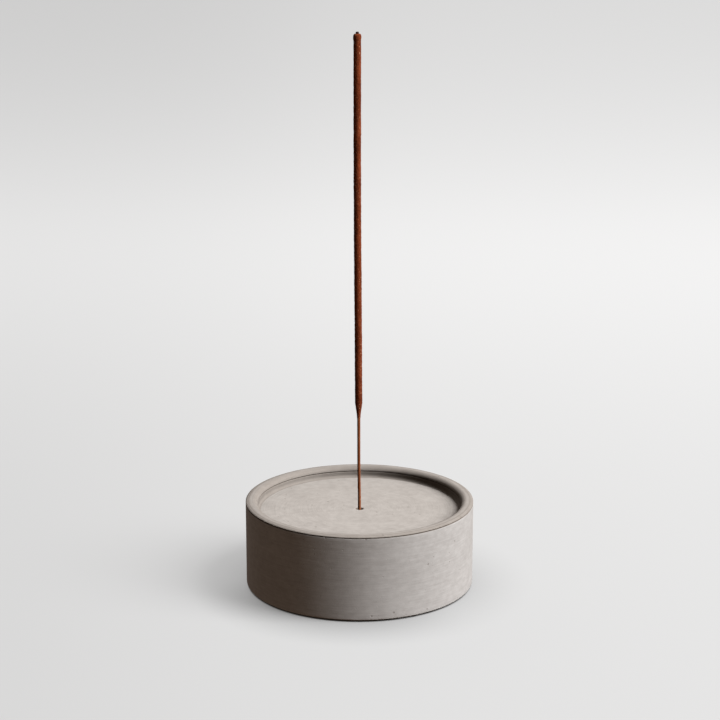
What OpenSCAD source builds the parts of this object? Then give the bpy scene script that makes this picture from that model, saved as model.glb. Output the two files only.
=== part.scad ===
// Incense burner: a low cast cylinder with an ash recess in its top, a felt
// pad stuck under it, and a stick of incense standing in the hole at its centre.
// The frame has +Z up, with the origin at the centre of the felt's underside.

/* [Cast body] */
// Outside diameter of the casting
body_d = 100; // [80:1:130]
// Height of the casting from its underside to the top of the rim
body_h = 37.5; // [30:0.1:50]
// Bevel round the bottom edge
foot_bevel = 0.4; // [0.2:0.1:1]

/* [Rim] */
// Thickness of the wall between the ash recess and the side
rim_w = 5.3; // [4.5:0.1:9]
// Fall of the rim's crown from its ridge out to the side
crown_fall = 0.7; // [0.3:0.05:1.2]
// Width of the rim's rounded inner edge
inner_edge_w = 2.4; // [1:0.1:2.8]
// Height of the rim's rounded inner edge
inner_edge_h = 1.95; // [1:0.05:2.2]
// Width of the fine grooves that set the rim off from the side and from the recess
groove_w = 0.4; // [0.2:0.1:0.6]
// Depth of those grooves
groove_depth = 0.5; // [0.1:0.05:0.6]

/* [Ash recess] */
// Depth of the recess from the top of the rim to its flat floor
recess_depth = 4.9; // [4.8:0.1:8]
// Radius of the fillet between the floor and the wall
fillet_r = 1.3; // [0.8:0.1:1.5]

/* [Stick hole] */
// Depth of the hole below the floor of the recess
hole_depth = 20.6; // [12:0.1:24]
// Gap all round between the stick and the hole
stick_clearance = 0.1; // [0.05:0.01:0.1]
// Diameter of the hole's flared mouth
mouth_d = 3.3; // [2.6:0.1:5]
// Depth of the flare
mouth_depth = 1.2; // [0.5:0.1:2]

/* [Foot pad] */
// Distance from the side of the body in to the edge of the pad
pad_inset = 1.3; // [0.5:0.1:5]
// Thickness of the felt
felt_h = 0.7; // [0.5:0.1:3]
// Thickness of the adhesive film that holds the felt
film_h = 0.1; // [0.1:0.05:0.3]

/* [Incense stick] */
// Overall length of the bamboo core
stick_length = 229.4; // [180:0.1:280]
// Diameter of the bamboo core
core_d = 1.4; // [1:0.1:2]
// Bevel on both ends of the core
core_bevel = 0.15; // [0.05:0.05:0.3]
// Length of bare bamboo below the paste
bare_length = 62.3; // [40:0.1:80]
// Length of bare bamboo above the paste
core_proud = 0.8; // [0.3:0.1:3]
// Diameter of the paste coat
paste_d = 3.1; // [2.4:0.05:4]
// Length over which the lower end of the paste thins out
taper_length = 8; // [4:0.5:15]
// Thickness of the paste where it starts
feather = 0.1; // [0.05:0.05:0.3]
// Largest diameter of the knob of paste at the top
knob_d = 3.5; // [3.1:0.05:4.5]
// Length of the knob
knob_length = 3.2; // [2:0.1:6]

/* [Hidden] */
$fn = 96;
ARC_STEP = 10;
TAPER_STEPS = 8;

body_r = body_d / 2;
film_z = felt_h;
base_z = felt_h + film_h;
top_z = base_z + body_h;
floor_z = top_z - recess_depth;
recess_r = body_r - rim_w;
pad_r = body_r - pad_inset;

hole_d = core_d + 2 * stick_clearance;
stick_z = floor_z - hole_depth;
paste_z = stick_z + bare_length;
paste_top_z = stick_z + stick_length - core_proud;

// Points of an arc about centre c, from angle a0 to angle a1
function arc(c, r, a0, a1) =
    let (n = max(2, ceil(abs(a1 - a0) / ARC_STEP)))
    [for (i = [0:n]) let (a = a0 + (a1 - a0) * i / n) c + r * [cos(a), sin(a)]];

// The side, and the rim's crown that slopes down to it from the ridge
side_top = top_z - crown_fall;
side = [
    [0, base_z],
    [body_r - foot_bevel, base_z],
    [body_r, base_z + foot_bevel],
    [body_r, side_top - groove_w],
];
ridge_r = recess_r + inner_edge_w;
crown_w = body_r - ridge_r;
crown_r = (crown_w * crown_w + crown_fall * crown_fall) / (2 * crown_fall);
crown = arc([ridge_r, top_z - crown_r], crown_r, 90 - asin(crown_w / crown_r), 90);

// The rounded inner edge, then the wall and its fillet down to the floor
edge_end = top_z - inner_edge_h;
inner_edge = [for (a = [100:10:180]) [ridge_r + inner_edge_w * cos(a), edge_end + inner_edge_h * sin(a)]];
wall = [[recess_r, edge_end - groove_w]];
fillet = arc([recess_r - fillet_r, floor_z + fillet_r], fillet_r, 0, -90);

// Bottoms of the two vee grooves
outer_groove = [[body_r - groove_depth, side_top - groove_w / 2]];
inner_groove = [[recess_r + groove_depth, edge_end - groove_w / 2]];
outline = concat(side, outer_groove, crown, inner_edge, inner_groove, wall, fillet, [[0, floor_z]]);

module body() {
    color("#b9b1aa")
        difference() {
            rotate_extrude() polygon(outline);
            translate([0, 0, stick_z]) cylinder(d = hole_d, h = hole_depth + 1);
            translate([0, 0, floor_z - mouth_depth])
                cylinder(d1 = hole_d, d2 = mouth_d, h = mouth_depth);
            translate([0, 0, floor_z]) cylinder(d = mouth_d, h = recess_depth);
        }
}

module pad_adhesive() {
    color("#d8d2c0") translate([0, 0, film_z]) cylinder(r = pad_r, h = film_h);
}

module base_pad() {
    color("#3c3a39") cylinder(r = pad_r, h = felt_h);
}

module bamboo_core() {
    color("#b98a5a")
        translate([0, 0, stick_z]) {
            cylinder(d1 = core_d - 2 * core_bevel, d2 = core_d, h = core_bevel);
            translate([0, 0, core_bevel]) cylinder(d = core_d, h = stick_length - 2 * core_bevel);
            translate([0, 0, stick_length - core_bevel])
                cylinder(d1 = core_d, d2 = core_d - 2 * core_bevel, h = core_bevel);
        }
}

// Paste radius along the taper, t from 0 at the feather edge to 1 at full size
function taper_r(t) =
    let (thin = core_d / 2 + feather)
    thin + (paste_d / 2 - thin) * (1 - cos(180 * t)) / 2;

module incense_paste() {
    taper = [for (i = [0:TAPER_STEPS]) let (t = i / TAPER_STEPS)
        [taper_r(t), paste_z + t * taper_length]];
    swell = (knob_d - paste_d) / 2;
    knob_z = paste_top_z - knob_length;
    knob = [for (i = [0:TAPER_STEPS]) let (t = i / TAPER_STEPS)
        [paste_d / 2 + swell * (1 - cos(180 * t)) / 2, knob_z + t * knob_length / 2]];
    crown_r = knob_d / 2 - core_d / 2;
    crown = [for (a = [15:15:90])
        [core_d / 2 + crown_r * cos(a), knob_z + knob_length / 2 + knob_length / 2 * sin(a)]];
    color("#6b3420")
        rotate_extrude()
            polygon(concat([[core_d / 2, paste_z]], taper, knob, crown));
}

body();
pad_adhesive();
base_pad();
bamboo_core();
incense_paste();
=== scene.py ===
"""An incense burner: a low concrete cylinder with an ash recess, on a felt pad, and its stick of incense."""

import math

import bpy
import numpy as np
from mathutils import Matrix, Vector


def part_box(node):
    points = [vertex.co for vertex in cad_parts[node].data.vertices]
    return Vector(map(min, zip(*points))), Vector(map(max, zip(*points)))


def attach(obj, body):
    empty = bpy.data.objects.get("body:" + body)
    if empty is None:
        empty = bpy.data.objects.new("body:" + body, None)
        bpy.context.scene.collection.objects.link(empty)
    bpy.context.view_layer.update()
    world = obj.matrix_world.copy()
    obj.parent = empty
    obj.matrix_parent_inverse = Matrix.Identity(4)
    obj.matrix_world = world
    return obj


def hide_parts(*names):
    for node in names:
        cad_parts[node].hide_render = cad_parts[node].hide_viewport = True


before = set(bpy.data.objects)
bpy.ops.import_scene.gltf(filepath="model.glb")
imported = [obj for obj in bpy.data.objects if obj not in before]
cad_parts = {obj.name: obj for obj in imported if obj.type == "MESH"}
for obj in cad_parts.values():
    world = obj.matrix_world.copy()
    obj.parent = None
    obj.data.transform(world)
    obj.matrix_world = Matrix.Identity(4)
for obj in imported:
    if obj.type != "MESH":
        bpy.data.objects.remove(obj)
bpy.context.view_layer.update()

# ---------------------------------------------------------------------------
# Cast body
# One piece of warm grey concrete, cast face down in a turned mould and rubbed
# smooth, so fine lines run round its side and in rings across its floor. The
# stick hole is cast with it, flared at the mouth.
# ---------------------------------------------------------------------------

MM = 0.001
body_low, body_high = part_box("body")
BODY_R = body_high.x / MM
BASE_Z = body_low.z / MM
TOP_Z = body_high.z / MM
RIM_W = 5.3
LAND_W = 0.4
CROWN_FALL = 0.7
INNER_EDGE = (2.4, 1.95)
GROOVE_W = 0.42
GROOVE_DEPTH = 0.55
RECESS_DEPTH = 4.9
FILLET_R = 1.3
HOLE_R = 0.8
HOLE_DEPTH = 20.6
MOUTH_R = 1.65
MOUTH_DEPTH = 1.2
FOOT_ROUND = 0.4
LIP_IN = 0.04
LIP_FALL = 0.1
MOUTH_EDGE_W = 0.25
MOUTH_EDGE_FALL = 0.1
AROUND = 320
EDGE_REACH = 0.6
EDGE_WEAR = 0.03
RIM_WEAR = 0.6
CONCRETE_PALE = (0.585, 0.563, 0.548)
CONCRETE_DEEP = (0.43, 0.408, 0.392)
CONCRETE_WARM = (1.0, 0.965, 0.925)
# The dark colour, and the strengths, of the painted shade in the pits, the grooves, the hole and on the
# recess wall, and of the rim's darkening
CONCRETE_SHADE = (0.17, 0.135, 0.108)
PIT_SHADE = 0.42
RIM_DARK_AND_SHADE_AMOUNT = 0.9

# Darker across the rim: distances out from its ridge, the amount at each, and one darker turned line
RIM_DARK_AT = (-2.4, -1.2, -0.2, 0.3, 1.2, 2.0, 2.9)
RIM_DARK = (0.55, 0.52, 0.34, 0.22, 0.36, 0.40, 0.60)
RIM_LINE_AT = 1.5
RIM_LINE_W = 0.18
RIM_LINE_DARK = 0.32
# Painted shade on the recess wall
WALL_PAINTED_SHADE = 0.6

FLOOR_Z = TOP_Z - RECESS_DEPTH
RECESS_R = BODY_R - RIM_W
HOLE_END_Z = FLOOR_Z - HOLE_DEPTH


def line(a, b, n):
    """n points evenly spaced from a up to, but not including, b."""
    t = np.arange(n)[:, None] / n
    return np.array(a) * (1 - t) + np.array(b) * t


def arc(centre, radius, a0, a1, n):
    """n points of a circular arc, centre + radius * (cos a, sin a), from a0 up to but not including a1."""
    a = np.radians(a0 + (a1 - a0) * np.arange(n) / n)
    return np.array(centre) + radius * np.stack([np.cos(a), np.sin(a)], 1)


def eased(t):
    """A smooth step from 0 to 1 as t goes from 0 to 1: 3t^2 - 2t^3."""
    return t * t * (3 - 2 * t)


def clouds(points, cell, seed):
    """Smooth random values from -1 to 1 at each point.

    Random values sit on the corners of a cubic lattice of the given cell size,
    and each point blends its eight corners with the weight 3t^2 - 2t^3."""
    table = np.random.default_rng(seed).uniform(-1, 1, 4096)
    p = np.asarray(points, float) / cell + 500.0
    i = np.floor(p).astype(np.int64)
    f = eased(p - i)
    total = np.zeros(len(p))
    for dx in (0, 1):
        for dy in (0, 1):
            for dz in (0, 1):
                key = (i[:, 0] + dx) * 73856093 ^ (i[:, 1] + dy) * 19349663 ^ (i[:, 2] + dz) * 83492791
                weight = (
                    (f[:, 0] if dx else 1 - f[:, 0])
                    * (f[:, 1] if dy else 1 - f[:, 1])
                    * (f[:, 2] if dz else 1 - f[:, 2])
                )
                total += weight * table[key % 4096]
    return total


def grid_faces(rings, around):
    """Quads that join each ring of points to the next, closed round the axis and facing outwards."""
    r = np.arange(rings - 1)[:, None] * around
    c = np.arange(around)[None, :]
    n = (c + 1) % around
    return np.stack([r + c, r + n, r + around + n, r + around + c], -1).reshape(-1, 4)


def end_fans(rings, around):
    """Triangles that fan the first and last rings out from their poles, which are the last two points."""
    here = np.arange(around)
    after = (here + 1) % around
    last = (rings - 1) * around
    pole = np.full(around, rings * around)
    first_fan = np.stack([after, here, pole], 1)
    last_fan = np.stack([last + here, last + after, pole + 1], 1)
    return np.concatenate([first_fan, last_fan])


def new_piece(name, points, *faces):
    """A smooth-shaded mesh piece from points in millimetres and one or more arrays of faces."""
    mesh = bpy.data.meshes.new(name)
    mesh.from_pydata((points * MM).tolist(), [], [face for group in faces for face in group.tolist()])
    mesh.validate()
    mesh.shade_smooth()
    piece = bpy.data.objects.new(name, mesh)
    bpy.context.scene.collection.objects.link(piece)
    return piece


def set_attribute(piece, name, values):
    """Stores one number or one vector per vertex on the piece, under that name."""
    values = np.asarray(values, np.float32)
    kind, field = ("FLOAT", "value") if values.ndim == 1 else ("FLOAT_VECTOR", "vector")
    layer = piece.data.attributes.new(name, kind, "POINT")
    layer.data.foreach_set(field, values.ravel())


def oval(centre, sizes, a0, a1, n):
    """n points of an oval arc from a0 up to but not including a1: centre + (size x cos a, size y sin a)."""
    a = np.radians(a0 + (a1 - a0) * np.arange(n) / n)
    return np.array(centre) + np.stack([sizes[0] * np.cos(a), sizes[1] * np.sin(a)], 1)


ridge_r = RECESS_R + INNER_EDGE[0]
land_r = ridge_r + LAND_W
side_top = TOP_Z - CROWN_FALL
edge_end = TOP_Z - INNER_EDGE[1]
outer_groove_z = side_top - GROOVE_W / 2
inner_groove_z = edge_end - GROOVE_W / 2
wall_top = edge_end - GROOVE_W
floor_r = RECESS_R - FILLET_R
lip_r = BODY_R - LIP_IN
lip_z = side_top - GROOVE_W - LIP_FALL
mouth_edge_r = MOUTH_R + MOUTH_EDGE_W
mouth_edge_z = FLOOR_Z - MOUTH_EDGE_FALL
profile = np.concatenate(
    [
        line((0.0, BASE_Z), (BODY_R - FOOT_ROUND, BASE_Z), 16)[1:],
        arc((BODY_R - FOOT_ROUND, BASE_Z + FOOT_ROUND), FOOT_ROUND, -90, 0, 6),
        line((BODY_R, BASE_Z + FOOT_ROUND), (BODY_R, lip_z), 66),
        line((BODY_R, lip_z), (lip_r, side_top - GROOVE_W), 2),
        line((lip_r, side_top - GROOVE_W), (BODY_R - GROOVE_DEPTH, outer_groove_z), 3),
        line((BODY_R - GROOVE_DEPTH, outer_groove_z), (lip_r, side_top), 3),
        oval((land_r, side_top), (BODY_R - land_r, CROWN_FALL), 4, 90, 22),
        line((land_r, TOP_Z), (ridge_r, TOP_Z), 3),
        oval((ridge_r, edge_end), INNER_EDGE, 90, 180, 18),
        line((RECESS_R, edge_end), (RECESS_R + GROOVE_DEPTH, inner_groove_z), 3),
        line((RECESS_R + GROOVE_DEPTH, inner_groove_z), (RECESS_R, wall_top), 3),
        line((RECESS_R, wall_top), (RECESS_R, FLOOR_Z + FILLET_R), 5),
        arc((floor_r, FLOOR_Z + FILLET_R), FILLET_R, 0, -90, 9),
        line((floor_r, FLOOR_Z), (mouth_edge_r, FLOOR_Z), 62),
        line((mouth_edge_r, FLOOR_Z), (MOUTH_R, mouth_edge_z), 3),
        line((MOUTH_R, mouth_edge_z), (HOLE_R, FLOOR_Z - MOUTH_DEPTH), 5),
        line((HOLE_R, FLOOR_Z - MOUTH_DEPTH), (HOLE_R, HOLE_END_Z), 12),
        line((HOLE_R, HOLE_END_Z), (HOLE_R * 0.5, HOLE_END_Z), 2),
    ]
)


def lathe(profile, around):
    """Turns a profile of (radius, height) points about Z.

    Each becomes a ring, whose point j is (r cos a, r sin a, z) with a = 2 pi j / around."""
    a = 2 * math.pi * np.arange(around) / around
    r, z = profile[:, :1], profile[:, 1:]
    return np.stack([r * np.cos(a), r * np.sin(a), z + 0 * a], -1).reshape(-1, 3)


def outward(profile, around):
    """Normals of that turned surface: the profile's direction turned a quarter, carried round with it."""
    step = np.gradient(profile, axis=0)
    n = np.stack([step[:, 1], -step[:, 0]], 1)
    n /= np.linalg.norm(n, axis=1, keepdims=True) + 1e-9
    return lathe(n, around)


points = lathe(profile, AROUND)
normals = outward(profile, AROUND)
travel = np.concatenate([[0], np.cumsum(np.linalg.norm(np.diff(profile, axis=0), axis=1))])
travel_all = np.repeat(travel, AROUND)
radius_all = np.hypot(points[:, 0], points[:, 1])
turn = np.stack([points[:, 0] / radius_all, points[:, 1] / radius_all, travel_all], 1)

# Where each point lies, with small margins so that points on an edge fall to the side that is meant
underside = points[:, 2] < BASE_Z + 0.02
in_hole = (radius_all < MOUTH_R + 0.1) & ~underside
foot_edge = np.exp(-(((radius_all - BODY_R) ** 2 + (points[:, 2] - BASE_Z) ** 2) / EDGE_REACH**2))
on_rim = (radius_all > RECESS_R - 0.05) & (points[:, 2] > edge_end - 0.05)
from_ridge = radius_all - ridge_r
rim_line = np.exp(-(((from_ridge - RIM_LINE_AT) / RIM_LINE_W) ** 2))
rim_dark = (np.interp(from_ridge, RIM_DARK_AT, RIM_DARK) + RIM_LINE_DARK * rim_line) * on_rim
on_wall = (radius_all > floor_r) & (radius_all < RECESS_R + 0.1)
on_wall &= (points[:, 2] > FLOOR_Z) & (points[:, 2] < edge_end)
in_outer_groove = (from_ridge > 0) & (abs(points[:, 2] - outer_groove_z) < GROOVE_W / 2 + 0.01)
in_inner_groove = (from_ridge < 0) & (radius_all > RECESS_R + 0.15)
in_inner_groove &= abs(points[:, 2] - inner_groove_z) < GROOVE_W / 2

# The skin is uneven by a few hundredths of a millimetre, and worn back a little along its edges
worn = EDGE_WEAR * np.maximum(foot_edge, RIM_WEAR * on_rim)
skin = 0.02 * clouds(points, cell=7.0, seed=11) + 0.012 * clouds(points, cell=2.2, seed=12)
skin += 0.008 * clouds(turn * (6.0, 6.0, 1.0), cell=0.9, seed=13)
skin -= worn * (1 + clouds(points, cell=1.8, seed=14))
skin[in_hole | underside] = 0
points = points + normals * skin[:, None]

above_side = (points[:, 2] > side_top) | (from_ridge < 0)
warmed = (radius_all < RECESS_R + 0.1) & (points[:, 2] > FLOOR_Z - 2)
warmed |= on_rim & above_side
# Painted shade in the grooves, the hole and on the recess wall, with the rim darker across its width
painted_shade_hollows = in_outer_groove | in_inner_groove | in_hole
rim_dark_and_painted_shade = np.maximum.reduce([rim_dark * above_side, WALL_PAINTED_SHADE * on_wall, painted_shade_hollows])
points = np.concatenate([points, [[0, 0, BASE_Z], [0, 0, HOLE_END_Z]]])
rings = len(profile)
cast_body = new_piece("cast_body", points, grid_faces(rings, AROUND), end_fans(rings, AROUND))
pole_turn = [[1, 0, 0], [1, 0, travel[-1]]]
set_attribute(cast_body, "turned", np.concatenate([turn, pole_turn]))
set_attribute(cast_body, "rim_dark_and_painted_shade", np.concatenate([rim_dark_and_painted_shade, [0, 0]]))
set_attribute(cast_body, "warmed", np.concatenate([warmed, [0, 0]]))


def new_material(name, roughness, specular):
    """A material with its Principled shader, whose fixed values are set on the shader's own sockets."""
    material = bpy.data.materials.new(name)
    material.use_nodes = True
    shader = material.node_tree.nodes["Principled BSDF"]
    shader.inputs["Roughness"].default_value = roughness
    shader.inputs["Specular IOR Level"].default_value = specular
    return material, material.node_tree, shader


def add(tree, kind, **values):
    """Adds a node to a tree, and sets its own properties or, by their names, its input sockets."""
    node = tree.nodes.new(kind)
    for key, value in values.items():
        if hasattr(node, key):
            setattr(node, key, value)
        else:
            node.inputs[key.replace("_", " ")].default_value = value
    return node


def noise(tree, vector, scale, detail=2.0, rough=0.5):
    """A noise texture's value over the given vector."""
    node = add(tree, "ShaderNodeTexNoise", Scale=scale, Detail=detail, Roughness=rough)
    tree.links.new(vector, node.inputs["Vector"])
    return node.outputs["Fac"]


def ramp(tree, value, low, high, out_low=0.0, out_high=1.0):
    """Maps a value from the range low..high to out_low..out_high with a smooth step, clamped at both ends."""
    node = add(tree, "ShaderNodeMapRange", interpolation_type="SMOOTHSTEP")
    for key, number in zip(("From Min", "From Max", "To Min", "To Max"), (low, high, out_low, out_high)):
        node.inputs[key].default_value = number
    tree.links.new(value, node.inputs["Value"])
    return node.outputs["Result"]


def combine(tree, operation, a, b):
    """One of the Math node's operations on two values, either of which may be a plain number."""
    node = add(tree, "ShaderNodeMath", operation=operation)
    for socket, value in zip(node.inputs, (a, b)):
        if isinstance(value, (int, float)):
            socket.default_value = value
        else:
            tree.links.new(value, socket)
    return node.outputs["Value"]


def blend_colour(tree, factor, a, b, blend_type="MIX"):
    """Mixes two colours by a factor; each may be a socket or a plain (r, g, b)."""
    node = add(tree, "ShaderNodeMix", data_type="RGBA", blend_type=blend_type)
    for index, value in ((0, factor), (6, a), (7, b)):
        if isinstance(value, (int, float)):
            node.inputs[index].default_value = value
        elif isinstance(value, tuple):
            node.inputs[index].default_value = (*value, 1.0)
        else:
            tree.links.new(value, node.inputs[index])
    return node.outputs[2]


def scaled(tree, vector, scale):
    """A vector multiplied by (x, y, z), with a Mapping node."""
    node = add(tree, "ShaderNodeMapping")
    node.inputs["Scale"].default_value = scale
    tree.links.new(vector, node.inputs["Vector"])
    return node.outputs["Vector"]


def object_mm(tree):
    """Object coordinates in millimetres."""
    return scaled(tree, add(tree, "ShaderNodeTexCoord").outputs["Object"], (1 / MM, 1 / MM, 1 / MM))


def bump(tree, height, distance, strength, normal=None):
    """A Bump node's normal for a height map whose full range is that distance in millimetres."""
    node = add(tree, "ShaderNodeBump", Strength=strength, Distance=distance * MM)
    tree.links.new(height, node.inputs["Height"])
    if normal is not None:
        tree.links.new(normal, node.inputs["Normal"])
    return node.outputs["Normal"]


def pits_group():
    """A node group that scatters round pits: a Mask of 1 in each pit, from cells of a Voronoi texture.

    A pit's edge is where the distance to its cell's point passes Size times the cell's green value, and
    only cells whose red value is under Share have one."""
    group = bpy.data.node_groups.new("scattered_pits", "ShaderNodeTree")
    face = group.interface
    face.new_socket("Vector", in_out="INPUT", socket_type="NodeSocketVector")
    for name, value in (("Scale", 1.0), ("Size", 0.2), ("Share", 0.5)):
        face.new_socket(name, in_out="INPUT", socket_type="NodeSocketFloat").default_value = value
    face.new_socket("Mask", in_out="OUTPUT", socket_type="NodeSocketFloat")
    given = group.nodes.new("NodeGroupInput").outputs
    cells = add(group, "ShaderNodeTexVoronoi", feature="F1")
    group.links.new(given["Vector"], cells.inputs["Vector"])
    group.links.new(given["Scale"], cells.inputs["Scale"])
    random = add(group, "ShaderNodeSeparateColor")
    group.links.new(cells.outputs["Color"], random.inputs["Color"])
    radius = combine(group, "MULTIPLY", random.outputs["Green"], given["Size"])
    depth = combine(group, "SUBTRACT", radius, cells.outputs["Distance"])
    inside = ramp(group, depth, 0.0, 0.06)
    chosen = combine(group, "LESS_THAN", random.outputs["Red"], given["Share"])
    mask = combine(group, "MULTIPLY", inside, chosen)
    out = group.nodes.new("NodeGroupOutput")
    group.links.new(mask, out.inputs["Mask"])
    return group


PITS = pits_group()


def pits(tree, vector, scale, size, share):
    """The mask of the scattered_pits group, placed with its own values."""
    node = tree.nodes.new("ShaderNodeGroup")
    node.node_tree = PITS
    tree.links.new(vector, node.inputs["Vector"])
    for name, value in (("Scale", scale), ("Size", size), ("Share", share)):
        node.inputs[name].default_value = value
    return node.outputs["Mask"]


def concrete():
    """Warm grey concrete, with soft clouds, turned lines, sand specks and pits.

    Painted shade darkens the pits, the grooves, the hole and the recess wall; the rim is darker across its
    width, and the rim and recess are a little warmer."""
    material, tree, shader = new_material("cast_concrete", roughness=0.86, specular=0.28)
    place = object_mm(tree)
    turned = add(tree, "ShaderNodeAttribute", attribute_name="turned").outputs["Vector"]
    rim_dark_and_painted_shade = add(tree, "ShaderNodeAttribute", attribute_name="rim_dark_and_painted_shade").outputs["Fac"]
    warmed = add(tree, "ShaderNodeAttribute", attribute_name="warmed").outputs["Fac"]
    broad = noise(tree, place, scale=0.06, detail=3.0)
    cloud = noise(tree, scaled(tree, place, (1.0, 1.0, 1.7)), scale=0.28, detail=5.0, rough=0.62)
    lines = noise(tree, scaled(tree, turned, (3.2, 3.2, 2.6)), scale=1.0, detail=4.0, rough=0.7)
    sand = noise(tree, place, scale=2.4, detail=3.0, rough=0.65)
    large_pits = combine(tree, "MULTIPLY", pits(tree, place, scale=0.42, size=0.26, share=0.16), 0.8)
    small_pits = combine(tree, "MULTIPLY", pits(tree, place, scale=1.3, size=0.30, share=0.22), 0.35)
    holes = combine(tree, "MAXIMUM", large_pits, small_pits)

    tone = combine(
        tree, "ADD", ramp(tree, broad, 0.3, 0.7, out_high=0.25), ramp(tree, cloud, 0.28, 0.72, out_high=0.45)
    )
    tone = combine(tree, "ADD", tone, ramp(tree, lines, 0.3, 0.7, out_high=0.42))
    colour = blend_colour(tree, tone, CONCRETE_DEEP, CONCRETE_PALE)
    colour = blend_colour(tree, ramp(tree, sand, 0.58, 0.78, out_high=0.5), colour, CONCRETE_DEEP)
    # Painted shade in the pits
    colour = blend_colour(tree, combine(tree, "MULTIPLY", holes, PIT_SHADE), colour, CONCRETE_SHADE)
    colour = blend_colour(tree, warmed, colour, CONCRETE_WARM, "MULTIPLY")
    # Painted shade in the grooves, the hole and on the recess wall, and the darker rim
    colour = blend_colour(tree, combine(tree, "MULTIPLY", rim_dark_and_painted_shade, RIM_DARK_AND_SHADE_AMOUNT), colour, CONCRETE_SHADE)
    tree.links.new(colour, shader.inputs["Base Color"])
    tree.links.new(ramp(tree, cloud, 0.3, 0.7, 0.82, 0.94), shader.inputs["Roughness"])
    normal = bump(tree, lines, distance=0.06, strength=0.4)
    normal = bump(tree, sand, distance=0.06, strength=0.4, normal=normal)
    unbroken = combine(tree, "SUBTRACT", 1.0, holes)
    normal = bump(tree, unbroken, distance=0.2, strength=0.6, normal=normal)
    tree.links.new(normal, shader.inputs["Normal"])
    return material


cast_body.data.materials.append(concrete())
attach(cast_body, "burner")
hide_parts("body")

# ---------------------------------------------------------------------------
# Adhesive film
# A thin double-sided film under the casting. It stays the shape the frame
# gives it, and only its edge can be seen, in the gap round the foot.
# ---------------------------------------------------------------------------

FILM_COLOUR = (0.62, 0.56, 0.42)
FILM_STREAK = (0.50, 0.44, 0.32)


def film():
    """A yellowish adhesive film with faint drawn streaks."""
    material, tree, shader = new_material("adhesive_film", roughness=0.35, specular=0.5)
    streaks = noise(tree, scaled(tree, object_mm(tree), (0.15, 1.4, 1.0)), scale=1.0)
    colour = blend_colour(tree, ramp(tree, streaks, 0.3, 0.7), FILM_COLOUR, FILM_STREAK)
    tree.links.new(colour, shader.inputs["Base Color"])
    tree.links.new(ramp(tree, streaks, 0.3, 0.7, 0.3, 0.5), shader.inputs["Roughness"])
    tree.links.new(bump(tree, streaks, distance=0.02, strength=0.3), shader.inputs["Normal"])
    return material


film_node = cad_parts["pad_adhesive"]
film_node.data.materials.clear()
film_node.data.materials.append(film())

# ---------------------------------------------------------------------------
# Felt pad
# A disc of pressed charcoal wool felt, die-cut and stuck under the casting so
# that it doesn't mark the table. Its cut edge is soft and a little ragged.
# ---------------------------------------------------------------------------

pad_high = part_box("base_pad")[1]
PAD_R = pad_high.x / MM
PAD_TOP = pad_high.z / MM
PAD_ROUND = 0.18
PAD_HUB_R = 2.0
CUT_BAND = 0.5
FELT_DARK = (0.010, 0.0095, 0.009)
FELT_LIGHT = (0.045, 0.043, 0.041)

pad_profile = np.concatenate(
    [
        line((0.0, 0.0), (PAD_R - PAD_ROUND, 0.0), 34)[1:],
        arc((PAD_R - PAD_ROUND, PAD_ROUND), PAD_ROUND, -90, 0, 5),
        arc((PAD_R - PAD_ROUND, PAD_TOP - PAD_ROUND), PAD_ROUND, 0, 90, 5),
        line((PAD_R - PAD_ROUND, PAD_TOP), (PAD_HUB_R, PAD_TOP), 12),
    ]
)
pad_points = lathe(pad_profile, AROUND)
pad_edge = np.hypot(pad_points[:, 0], pad_points[:, 1]) > PAD_R - CUT_BAND
ragged = 0.10 * clouds(pad_points, cell=1.3, seed=21) + 0.05 * clouds(pad_points, cell=0.6, seed=22) - 0.13
pad_points[pad_edge] *= 1 + (ragged[pad_edge] / PAD_R)[:, None] * (1, 1, 0)
nap = (pad_points[:, 2] < 0.02) & ~pad_edge
pad_points[nap, 2] += 0.02 * (1 + clouds(pad_points[nap], cell=1.6, seed=23))
pad_points = np.concatenate([pad_points, [[0, 0, 0], [0, 0, PAD_TOP]]])
pad_rings = len(pad_profile)
felt_pad = new_piece("felt_pad", pad_points, grid_faces(pad_rings, AROUND), end_fans(pad_rings, AROUND))


def felt():
    """Pressed wool: short fibres lying every way, over slow changes of tone."""
    material, tree, shader = new_material("charcoal_felt", roughness=0.95, specular=0.15)
    shader.inputs["Sheen Weight"].default_value = 0.08
    shader.inputs["Sheen Roughness"].default_value = 0.6
    place = object_mm(tree)
    along = noise(tree, scaled(tree, place, (0.8, 5.0, 5.0)), scale=1.0, detail=3.0, rough=0.6)
    across = noise(tree, scaled(tree, place, (5.0, 0.8, 5.0)), scale=1.0, detail=3.0, rough=0.6)
    fibres = combine(tree, "MAXIMUM", along, across)
    slow = noise(tree, place, scale=0.12)
    tone = combine(tree, "MULTIPLY", ramp(tree, fibres, 0.45, 0.75), ramp(tree, slow, 0.2, 0.8, out_low=0.6))
    tree.links.new(blend_colour(tree, tone, FELT_DARK, FELT_LIGHT), shader.inputs["Base Color"])
    tree.links.new(bump(tree, fibres, distance=0.2, strength=0.8), shader.inputs["Normal"])
    return material


felt_pad.data.materials.append(felt())
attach(felt_pad, "burner")
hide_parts("base_pad")

# ---------------------------------------------------------------------------
# Bamboo core
# A split and sanded bamboo stick, the length of the whole incense stick. It
# stands in the hole, and like most it isn't quite straight. In such soft light
# it throws no shadow that can be seen, and neither does the paste on it.
# ---------------------------------------------------------------------------

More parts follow.
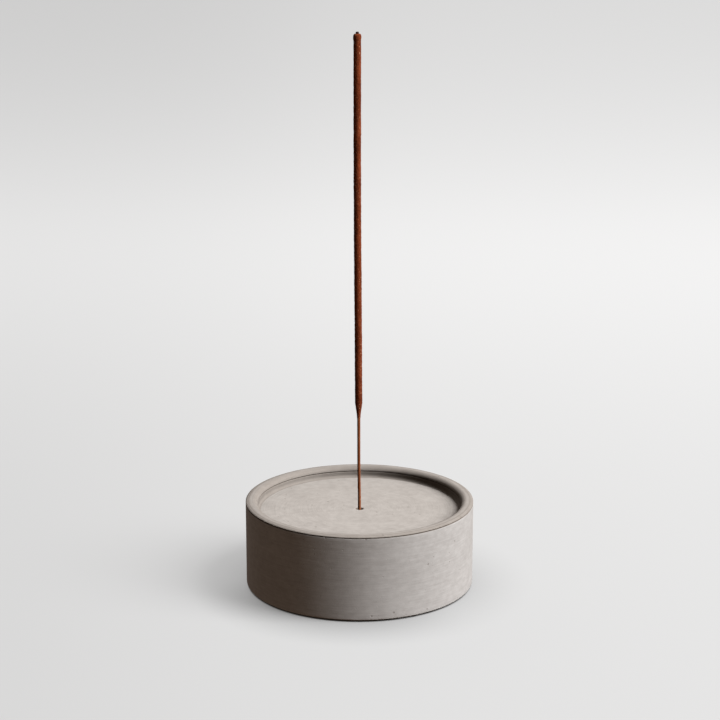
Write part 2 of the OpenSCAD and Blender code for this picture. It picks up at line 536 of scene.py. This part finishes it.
core_low, core_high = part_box("bamboo_core")
CORE_R = core_high.x / MM
CORE_BOTTOM = core_low.z / MM
CORE_TOP = core_high.z / MM
LEAN = -0.28
LEAN_FROM = 33.0
LEAN_TO = 58.0
BOW = -0.6
BOW_FROM = 62.0
BOW_TO = 190.0
CORE_BEVEL = 0.15
TIP_ROUND = 0.2
END_STAIN = (1.6, 0.7)
CORE_AROUND = 28
BAMBOO_PALE = (0.44, 0.165, 0.072)
BAMBOO_DEEP = (0.17, 0.034, 0.008)
BAMBOO_FIBRE = (0.08, 0.022, 0.010)
BAMBOO_END = (0.045, 0.016, 0.009)


def bowed(points):
    """Moves each point sideways by the stick's lean and its bow, each of which is an eased step in height."""
    shift = 0
    for amount, low, high in ((LEAN, LEAN_FROM, LEAN_TO), (BOW, BOW_FROM, BOW_TO)):
        shift = shift + amount * eased(np.clip((points[:, 2] - low) / (high - low), 0, 1))
    return points + np.stack([shift, 0 * shift, 0 * shift], 1)


core_profile = np.concatenate(
    [
        [[CORE_R * 0.5, CORE_BOTTOM], [CORE_R * 0.82, CORE_BOTTOM]],
        line((CORE_R, CORE_BOTTOM + CORE_BEVEL), (CORE_R, CORE_TOP - TIP_ROUND), 420),
        [[CORE_R, CORE_TOP - TIP_ROUND], [CORE_R * 0.85, CORE_TOP - TIP_ROUND / 4], [CORE_R * 0.5, CORE_TOP]],
    ]
)
core_points = lathe(core_profile, CORE_AROUND)
core_out = outward(core_profile, CORE_AROUND)
core_turn = core_points / (CORE_R, CORE_R, 1)
flats = -0.035 * np.maximum(0, clouds(core_turn * (1.0, 1.0, 0.02), cell=0.9, seed=31))
splits = -0.02 * (1 + clouds(core_turn * (1.0, 1.0, 0.012), cell=0.28, seed=32)) / 2
core_points = bowed(core_points + core_out * (flats + splits)[:, None])
core_points = np.concatenate([core_points, [[0, 0, CORE_BOTTOM], [LEAN + BOW, 0, CORE_TOP]]])
core_rings = len(core_profile)
bamboo_stick = new_piece(
    "bamboo_stick", core_points, grid_faces(core_rings, CORE_AROUND), end_fans(core_rings, CORE_AROUND)
)


def bamboo():
    """Split bamboo: long fibres, a slow drift of colour along it, dark threads, and a dark upper end."""
    material, tree, shader = new_material("split_bamboo", roughness=0.62, specular=0.15)
    place = object_mm(tree)
    fibres = noise(tree, scaled(tree, place, (3.4, 3.4, 0.05)), scale=1.0, detail=4.0, rough=0.65)
    drift = noise(tree, place, scale=0.09)
    threads = noise(tree, scaled(tree, place, (7.0, 7.0, 0.03)), scale=1.0)
    tone = combine(
        tree, "ADD", ramp(tree, fibres, 0.3, 0.7, out_high=0.7), ramp(tree, drift, 0.3, 0.7, out_high=0.3)
    )
    colour = blend_colour(tree, tone, BAMBOO_DEEP, BAMBOO_PALE)
    colour = blend_colour(tree, ramp(tree, threads, 0.6, 0.75, out_high=0.6), colour, BAMBOO_FIBRE)
    height = add(tree, "ShaderNodeSeparateXYZ")
    tree.links.new(place, height.inputs[0])
    stain = ramp(tree, height.outputs["Z"], CORE_TOP - END_STAIN[0], CORE_TOP - END_STAIN[1])
    colour = blend_colour(tree, stain, colour, BAMBOO_END)
    tree.links.new(colour, shader.inputs["Base Color"])
    tree.links.new(ramp(tree, fibres, 0.3, 0.7, 0.5, 0.7), shader.inputs["Roughness"])
    tree.links.new(bump(tree, fibres, distance=0.06, strength=0.5), shader.inputs["Normal"])
    return material


bamboo_stick.data.materials.append(bamboo())
bamboo_stick.visible_shadow = False
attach(bamboo_stick, "stick")
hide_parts("bamboo_core")

# ---------------------------------------------------------------------------
# Incense paste
# Wood powder, gum and resin rolled on round the bamboo and dried. It is dry
# and grainy, thins out at its lower end, and has a small knob at the top.
# ---------------------------------------------------------------------------

paste_low, paste_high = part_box("incense_paste")
PASTE_R = 1.6
KNOB_R = paste_high.x / MM
PASTE_BOTTOM = paste_low.z / MM
PASTE_TOP = paste_high.z / MM
TAPER = 8.0
KNOB = 3.2
KNOB_BLUNTNESS = 0.55
FEATHER = 0.1
BORE_R = 0.9 * CORE_R
PASTE_AROUND = 40
PASTE_RED = (0.33, 0.078, 0.028)
PASTE_DARK = (0.065, 0.011, 0.004)
PASTE_GRAIN = (0.56, 0.25, 0.135)


def raised(t):
    """A smooth rise from 0 to 1 as t goes from 0 to 1: (1 - cos(pi t)) / 2."""
    return (1 - np.cos(np.pi * t)) / 2


heights = np.linspace(PASTE_BOTTOM, PASTE_TOP - KNOB / 2, 620)
rise = np.clip((heights - PASTE_BOTTOM) / TAPER, 0, 1)
swell = np.clip((heights - (PASTE_TOP - KNOB)) / (KNOB / 2), 0, 1)
thin = CORE_R + FEATHER
outer_r = thin + (PASTE_R - thin) * raised(rise) + (KNOB_R - PASTE_R) * raised(swell)
round_over = np.radians(np.arange(12, 84, 12))
crown_r = CORE_R + (KNOB_R - CORE_R) * np.cos(round_over) ** KNOB_BLUNTNESS
crown_z = PASTE_TOP - KNOB / 2 + KNOB / 2 * np.sin(round_over)
paste_profile = np.concatenate(
    [
        [[BORE_R, PASTE_BOTTOM]],
        np.stack([outer_r, heights], 1),
        np.stack([crown_r, crown_z], 1),
        [[BORE_R, PASTE_TOP]],
    ]
)
paste_points = lathe(paste_profile, PASTE_AROUND)
paste_out = outward(paste_profile, PASTE_AROUND)
paste_radius = np.hypot(paste_points[:, 0], paste_points[:, 1])
coat = np.clip((paste_radius - CORE_R) / (PASTE_R - CORE_R), 0, 1)
grain = 0.05 * clouds(paste_points, cell=0.75, seed=41) + 0.035 * clouds(paste_points, cell=0.38, seed=42)
lumps = 0.05 * clouds(paste_points * (1, 1, 0.35), cell=2.6, seed=43)
paste_points = bowed(paste_points + paste_out * ((grain + lumps) * coat)[:, None])
ring = np.arange(PASTE_AROUND)
ring_after = (ring + 1) % PASTE_AROUND
top_ring = (len(paste_profile) - 1) * PASTE_AROUND
bore_quads = np.stack([top_ring + ring, top_ring + ring_after, ring_after, ring], 1)
coat_quads = grid_faces(len(paste_profile), PASTE_AROUND)
incense_coat = new_piece("incense_coat", paste_points, coat_quads, bore_quads)


def paste():
    """Dried incense paste: red-brown powder with pale wood grains and dark resin specks."""
    material, tree, shader = new_material("incense_paste", roughness=0.95, specular=0.05)
    place = object_mm(tree)
    powder = noise(tree, place, scale=2.6, detail=4.0, rough=0.7)
    patches = noise(tree, scaled(tree, place, (1.0, 1.0, 0.35)), scale=0.45, detail=3.0)
    grains = pits(tree, place, scale=1.7, size=0.5, share=0.3)
    resin = pits(tree, place, scale=2.1, size=0.5, share=0.25)
    tone = combine(
        tree, "ADD", ramp(tree, powder, 0.3, 0.7, out_high=0.65), ramp(tree, patches, 0.3, 0.7, out_high=0.35)
    )
    colour = blend_colour(tree, tone, PASTE_DARK, PASTE_RED)
    colour = blend_colour(tree, combine(tree, "MULTIPLY", grains, 0.75), colour, PASTE_GRAIN)
    colour = blend_colour(tree, combine(tree, "MULTIPLY", resin, 0.5), colour, PASTE_DARK)
    tree.links.new(colour, shader.inputs["Base Color"])
    normal = bump(tree, powder, distance=0.12, strength=0.8)
    normal = bump(tree, grains, distance=0.06, strength=0.5, normal=normal)
    tree.links.new(normal, shader.inputs["Normal"])
    return material


incense_coat.data.materials.append(paste())
incense_coat.visible_shadow = False
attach(incense_coat, "stick")
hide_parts("incense_paste")

# ---------------------------------------------------------------------------
# Table and backdrop
# One pale matte sweep: a level table that curves up into a plain backdrop. It
# glows, with a painted pool of light behind the burner, brighter to the right,
# and painted shadows round its foot, and throws little light back on to the
# object, as when dark flags stand round it.
# ---------------------------------------------------------------------------

SWEEP_WIDTH = 8.0
SWEEP_FINE_HALF = 1.0
SWEEP_FRONT = -3.0
SWEEP_BEND_Y = 0.9
SWEEP_BEND_R = 1.6
SWEEP_RISE = 3.0
SWEEP_PAPER = (0.22, 0.22, 0.22)
SWEEP_BOUNCE = (0.08, 0.08, 0.08)
SWEEP_WARMTH = (0.125, 0.090, 0.068)
POOL_BASE = 0.475
POOL_SIDE = 0.035
POOL_SIDE_AT = -0.08
POOL_SIDE_W = 0.12
POOL_BACK = 0.17
POOL_BACK_AT = 0.75
POOL_BACK_W = 0.55
SHELTER_REACH = 0.028
CREVICE = (0.15, 0.45)
RIGHT_SHARE = 0.4
FRONT_ON = -1.25
SIDE_ON = -0.3
FRONT_SHADE = 1.4
SIDE_SHADE = 0.45

fine = np.linspace(-SWEEP_FINE_HALF, SWEEP_FINE_HALF, 81)
across = np.concatenate([[-SWEEP_WIDTH / 2], fine, [SWEEP_WIDTH / 2]])
bend = np.radians(np.linspace(0, 90, 41))
along = np.concatenate(
    [
        np.stack([np.linspace(SWEEP_FRONT, SWEEP_BEND_Y, 80)[:-1], np.zeros(79)], 1),
        np.stack([SWEEP_BEND_Y + SWEEP_BEND_R * np.sin(bend), SWEEP_BEND_R * (1 - np.cos(bend))], 1),
        [[SWEEP_BEND_Y + SWEEP_BEND_R, SWEEP_BEND_R + SWEEP_RISE]],
    ]
)
n_across, n_along = len(across), len(along)
sweep_points = np.stack(
    [
        np.tile(across, n_along),
        np.repeat(along[:, 0], n_across),
        np.repeat(along[:, 1], n_across),
    ],
    1,
)
cell = (np.arange(n_along - 1)[:, None] * n_across + np.arange(n_across - 1)[None, :]).ravel()
sweep_mesh = bpy.data.meshes.new("sweep")
sweep_mesh.from_pydata(
    sweep_points.tolist(), [], np.stack([cell, cell + 1, cell + n_across + 1, cell + n_across], 1).tolist()
)
sweep_mesh.shade_smooth()
sweep = bpy.data.objects.new("sweep", sweep_mesh)
bpy.context.scene.collection.objects.link(sweep)


def pool_of_light(x, y):
    """How bright the paper looks: a base, plus a share of tanh that grows to the right, plus a pool behind.

    The pool is exp(-d^2), where d is the distance in y from its middle over its width."""
    to_right = POOL_SIDE * np.tanh((x - POOL_SIDE_AT) / POOL_SIDE_W)
    behind = POOL_BACK * np.exp(-(((y - POOL_BACK_AT) / POOL_BACK_W) ** 2))
    return POOL_BASE + to_right + behind


set_attribute(sweep, "pool", pool_of_light(sweep_points[:, 0], sweep_points[:, 1]))
sweep_paper = bpy.data.materials.new("sweep_paper")
sweep_paper.use_nodes = True
tree = sweep_paper.node_tree
tree.nodes.clear()
pool = add(tree, "ShaderNodeAttribute", attribute_name="pool").outputs["Fac"]
shelter = add(tree, "ShaderNodeAmbientOcclusion", samples=8, Distance=SHELTER_REACH).outputs["AO"]
facing = add(tree, "ShaderNodeVectorMath", operation="NORMALIZE")
tree.links.new(add(tree, "ShaderNodeTexCoord").outputs["Object"], facing.inputs[0])
way = add(tree, "ShaderNodeSeparateXYZ")
tree.links.new(facing.outputs["Vector"], way.inputs[0])

# Painted shadow: sheltered paper darkens most in front of the burner and to its front left, and in the gap at
# its foot
away = combine(tree, "ADD", way.outputs["Y"], combine(tree, "MULTIPLY", way.outputs["X"], RIGHT_SHARE))
painted_shadow_factor = combine(tree, "POWER", shelter, ramp(tree, away, FRONT_ON, SIDE_ON, FRONT_SHADE, SIDE_SHADE))
painted_shadow_factor = combine(tree, "MULTIPLY", painted_shadow_factor, ramp(tree, shelter, *CREVICE))

# The camera sees glowing paper, and every other ray meets a dark one that gives a little warm light
glow = add(tree, "ShaderNodeEmission")
tree.links.new(combine(tree, "MULTIPLY", pool, painted_shadow_factor), glow.inputs["Strength"])
seen_paper = add(tree, "ShaderNodeBsdfDiffuse", Color=(*SWEEP_PAPER, 1.0))
lit = add(tree, "ShaderNodeAddShader")
tree.links.new(seen_paper.outputs[0], lit.inputs[0])
tree.links.new(glow.outputs[0], lit.inputs[1])
bounce_paper = add(tree, "ShaderNodeBsdfDiffuse", Color=(*SWEEP_BOUNCE, 1.0))
bounce_glow = add(tree, "ShaderNodeEmission", Color=(*SWEEP_WARMTH, 1.0), Strength=1.0)
bounce = add(tree, "ShaderNodeAddShader")
tree.links.new(bounce_paper.outputs[0], bounce.inputs[0])
tree.links.new(bounce_glow.outputs[0], bounce.inputs[1])
by_eye = add(tree, "ShaderNodeMixShader")
tree.links.new(add(tree, "ShaderNodeLightPath").outputs["Is Camera Ray"], by_eye.inputs[0])
tree.links.new(bounce.outputs[0], by_eye.inputs[1])
tree.links.new(lit.outputs[0], by_eye.inputs[2])
tree.links.new(by_eye.outputs[0], add(tree, "ShaderNodeOutputMaterial").inputs["Surface"])
sweep_mesh.materials.append(sweep_paper)

# ---------------------------------------------------------------------------
# Light and camera
# A tall soft panel from the right, which lights surfaces only directly, a faint
# one from behind on the left, and a dim warm surround.
# ---------------------------------------------------------------------------

KEY = dict(azimuth=72.5, elevation=42.0, distance=2.4, width=1.2, height=2.1, watts=98.5)
BACK = dict(azimuth=-155.0, elevation=18.0, distance=2.2, width=1.6, height=1.6, watts=6.0)
SURROUND = (0.045, 0.034, 0.026)
CAMERA_PLACE = (0.00025, -0.88215, 0.3376)
CAMERA_PITCH = 15.004
CAMERA_LENS = 105.66
SENSOR = 36.0


def soft_panel(name, azimuth, elevation, distance, width, height, watts):
    """A rectangular area light aimed at the object, azimuth degrees round to the right of the viewer."""
    az, el = math.radians(azimuth), math.radians(elevation)
    place = (
        distance * math.sin(az) * math.cos(el),
        -distance * math.cos(az) * math.cos(el),
        distance * math.sin(el),
    )
    light = bpy.data.lights.new(name, "AREA")
    light.shape = "RECTANGLE"
    light.size = width
    light.size_y = height
    light.energy = watts
    panel = bpy.data.objects.new(name, light)
    panel.location = place
    panel.rotation_euler = (math.pi / 2 - el, 0, az)
    bpy.context.scene.collection.objects.link(panel)
    return panel


key_panel = soft_panel("key_panel", **KEY)
key_panel.data.cycles.max_bounces = 0
soft_panel("back_panel", **BACK)

world = bpy.data.worlds.new("surround")
world.use_nodes = True
world.node_tree.nodes["Background"].inputs["Color"].default_value = (*SURROUND, 1)
world.node_tree.nodes["Background"].inputs["Strength"].default_value = 1.0
bpy.context.scene.world = world

camera_data = bpy.data.cameras.new("camera")
camera_data.lens = CAMERA_LENS
camera_data.sensor_width = SENSOR
camera = bpy.data.objects.new("camera", camera_data)
camera.location = CAMERA_PLACE
camera.rotation_euler = (math.radians(90 - CAMERA_PITCH), 0, 0)
bpy.context.scene.collection.objects.link(camera)
bpy.context.scene.camera = camera
bpy.context.scene.view_settings.view_transform = "Standard"
